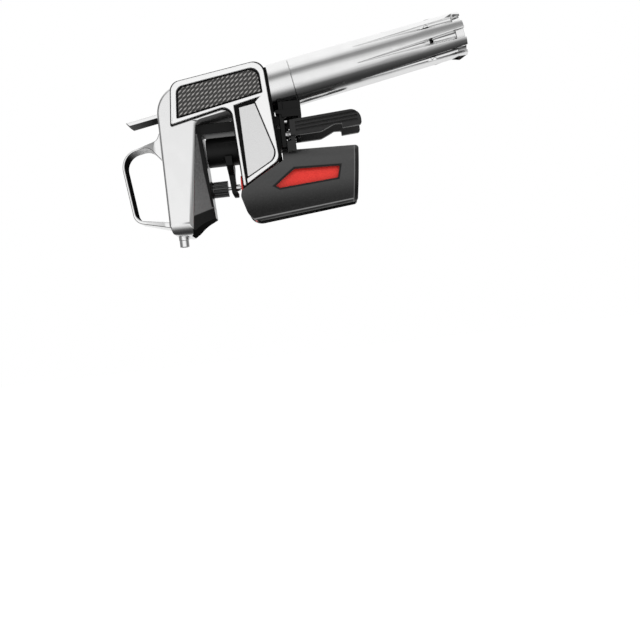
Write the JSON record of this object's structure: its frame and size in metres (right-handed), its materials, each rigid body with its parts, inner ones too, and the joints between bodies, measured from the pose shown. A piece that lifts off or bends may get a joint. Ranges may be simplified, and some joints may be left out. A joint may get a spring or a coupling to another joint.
{
  "type": "wine preservation dispenser",
  "caption": "Hand-held dispenser that pours through a hollow needle while gas from a capsule fills the bottle; clamp jaws, finger loop, trigger and screw-on cup.",
  "frame": {"origin": "on the needle's axis, in the plane where the bottle's lip rests against the clamp", "axes": "+X along the needle towards the bottle, +Z from the spout to the capsule cup, -Y the side seen on the left when pouring"},
  "size_m": [0.2034, 0.0424, 0.1167],
  "materials": {
    "cast_silver": "satin silver casting",
    "satin_silver": "satin anodised",
    "bright_trim": "polished",
    "polished_silver": "polished casting",
    "grip_grey": "knurled diamond grain",
    "plate_satin": "light satin, bare",
    "black_backing": "matte black",
    "cover_grey": "dark grey, finely grained",
    "black_plastic": "matte black",
    "soft_black": "soft touch over a rigid core",
    "red_liner": "red, matte",
    "steel": "polished steel",
    "brass": "machined",
    "seal_rubber": "black"
  },
  "bodies": {
    "clamp": {"clamp_carriage": "black_plastic", "guide_rail": "black_plastic", "rail_screws": "steel", "needle_guide": "black_plastic", "guide_bush": "steel", "needle_grommet": "red_liner", "left_jaw_pin": "steel", "left_jaw_spring": "steel", "right_jaw_pin": "steel", "right_jaw_spring": "steel"},
    "head": {"body_casting": "cast_silver", "head_end_plate": "black_backing", "left_backing": "black_backing", "left_trim": "bright_trim", "left_grip_pad": "grip_grey", "left_name_plate": "plate_satin", "right_backing": "black_backing", "right_trim": "bright_trim", "right_grip_pad": "grip_grey", "right_name_plate": "plate_satin", "arm_cover": "cover_grey", "finger_loop": "polished_silver", "loop_screws": "steel", "spout_tube": "steel", "needle_block": "black_plastic", "block_screws": "steel", "gas_tube": "steel", "collar": "satin_silver", "collar_nut": "brass", "regulator_body": "brass", "regulator_nose": "brass", "pierce_pin": "steel", "capsule_seal": "seal_rubber", "regulator_spring": "steel", "valve_spring": "steel", "trigger_pin": "steel"},
    "left_jaw": {"left_jaw": "soft_black", "left_jaw_liner": "red_liner"},
    "right_jaw": {"right_jaw": "soft_black", "right_jaw_liner": "red_liner"},
    "trigger": {"trigger": "polished_silver"},
    "valve": {"valve_stem": "brass"},
    "piston": {"regulator_piston": "brass"},
    "needle": {"needle": "steel", "needle_hub": "black_plastic", "hub_seal": "seal_rubber"},
    "capsule": {"gas_capsule": "steel"},
    "cup": {"capsule_cup": "satin_silver", "cup_end_cap": "satin_silver"}
  },
  "joints": [
    {"name": "body_slide", "type": "slide", "parent": "clamp", "child": "head", "axis": [-1, 0, 0], "range_m": [0, 0.054]},
    {"name": "left_jaw_hinge", "type": "hinge", "parent": "clamp", "child": "left_jaw", "pos_m": [0.0277, -0.008, 0.0255], "axis": [-1, 0, 0], "range_deg": [0, 14], "stiffness_Nm_per_rad": 0.6, "springref_deg": -11.46, "deforming": ["left_jaw_spring"]},
    {"name": "right_jaw_hinge", "type": "hinge", "parent": "clamp", "child": "right_jaw", "pos_m": [0.0277, 0.008, 0.0255], "axis": [1, 0, 0], "range_deg": [0, 14], "stiffness_Nm_per_rad": 0.6, "springref_deg": -11.46, "deforming": ["right_jaw_spring"]},
    {"name": "trigger_hinge", "type": "hinge", "parent": "head", "child": "trigger", "pos_m": [-0.03977, 0, 0.05029], "axis": [0, -1, 0], "range_deg": [0, 8], "stiffness_Nm_per_rad": 0.5, "springref_deg": -5.73},
    {"name": "valve_slide", "type": "slide", "parent": "head", "child": "valve", "axis": [0.9857, 0, 0.1685], "range_m": [0, 0.00105], "deforming": ["valve_spring"]},
    {"name": "piston_slide", "type": "slide", "parent": "head", "child": "piston", "axis": [0.9857, 0, 0.1685], "range_m": [0, 0.0008], "stiffness_N_per_m": 4000, "springref_m": -0.0005, "deforming": ["regulator_spring"]},
    {"name": "needle_turn", "type": "hinge", "parent": "head", "child": "needle", "pos_m": [0, 0, 0], "axis": [1, 0, 0], "continuous": true},
    {"name": "capsule_travel", "type": "slide", "parent": "head", "child": "capsule", "axis": [0.9857, 0, 0.1685], "range_m": [0, 0.006]},
    {"name": "cup_turn", "type": "hinge", "parent": "capsule", "child": "cup", "pos_m": [0.031, 0, 0.0565], "axis": [0.9857, 0, 0.1685], "range_deg": [0, 1440]}
  ],
  "couplings": [
    {"joint": "valve_slide", "follows": "trigger_hinge", "m_per_rad": 0.0073},
    {"joint": "capsule_travel", "follows": "cup_turn", "m_per_rad": 0.0002387}
  ]
}
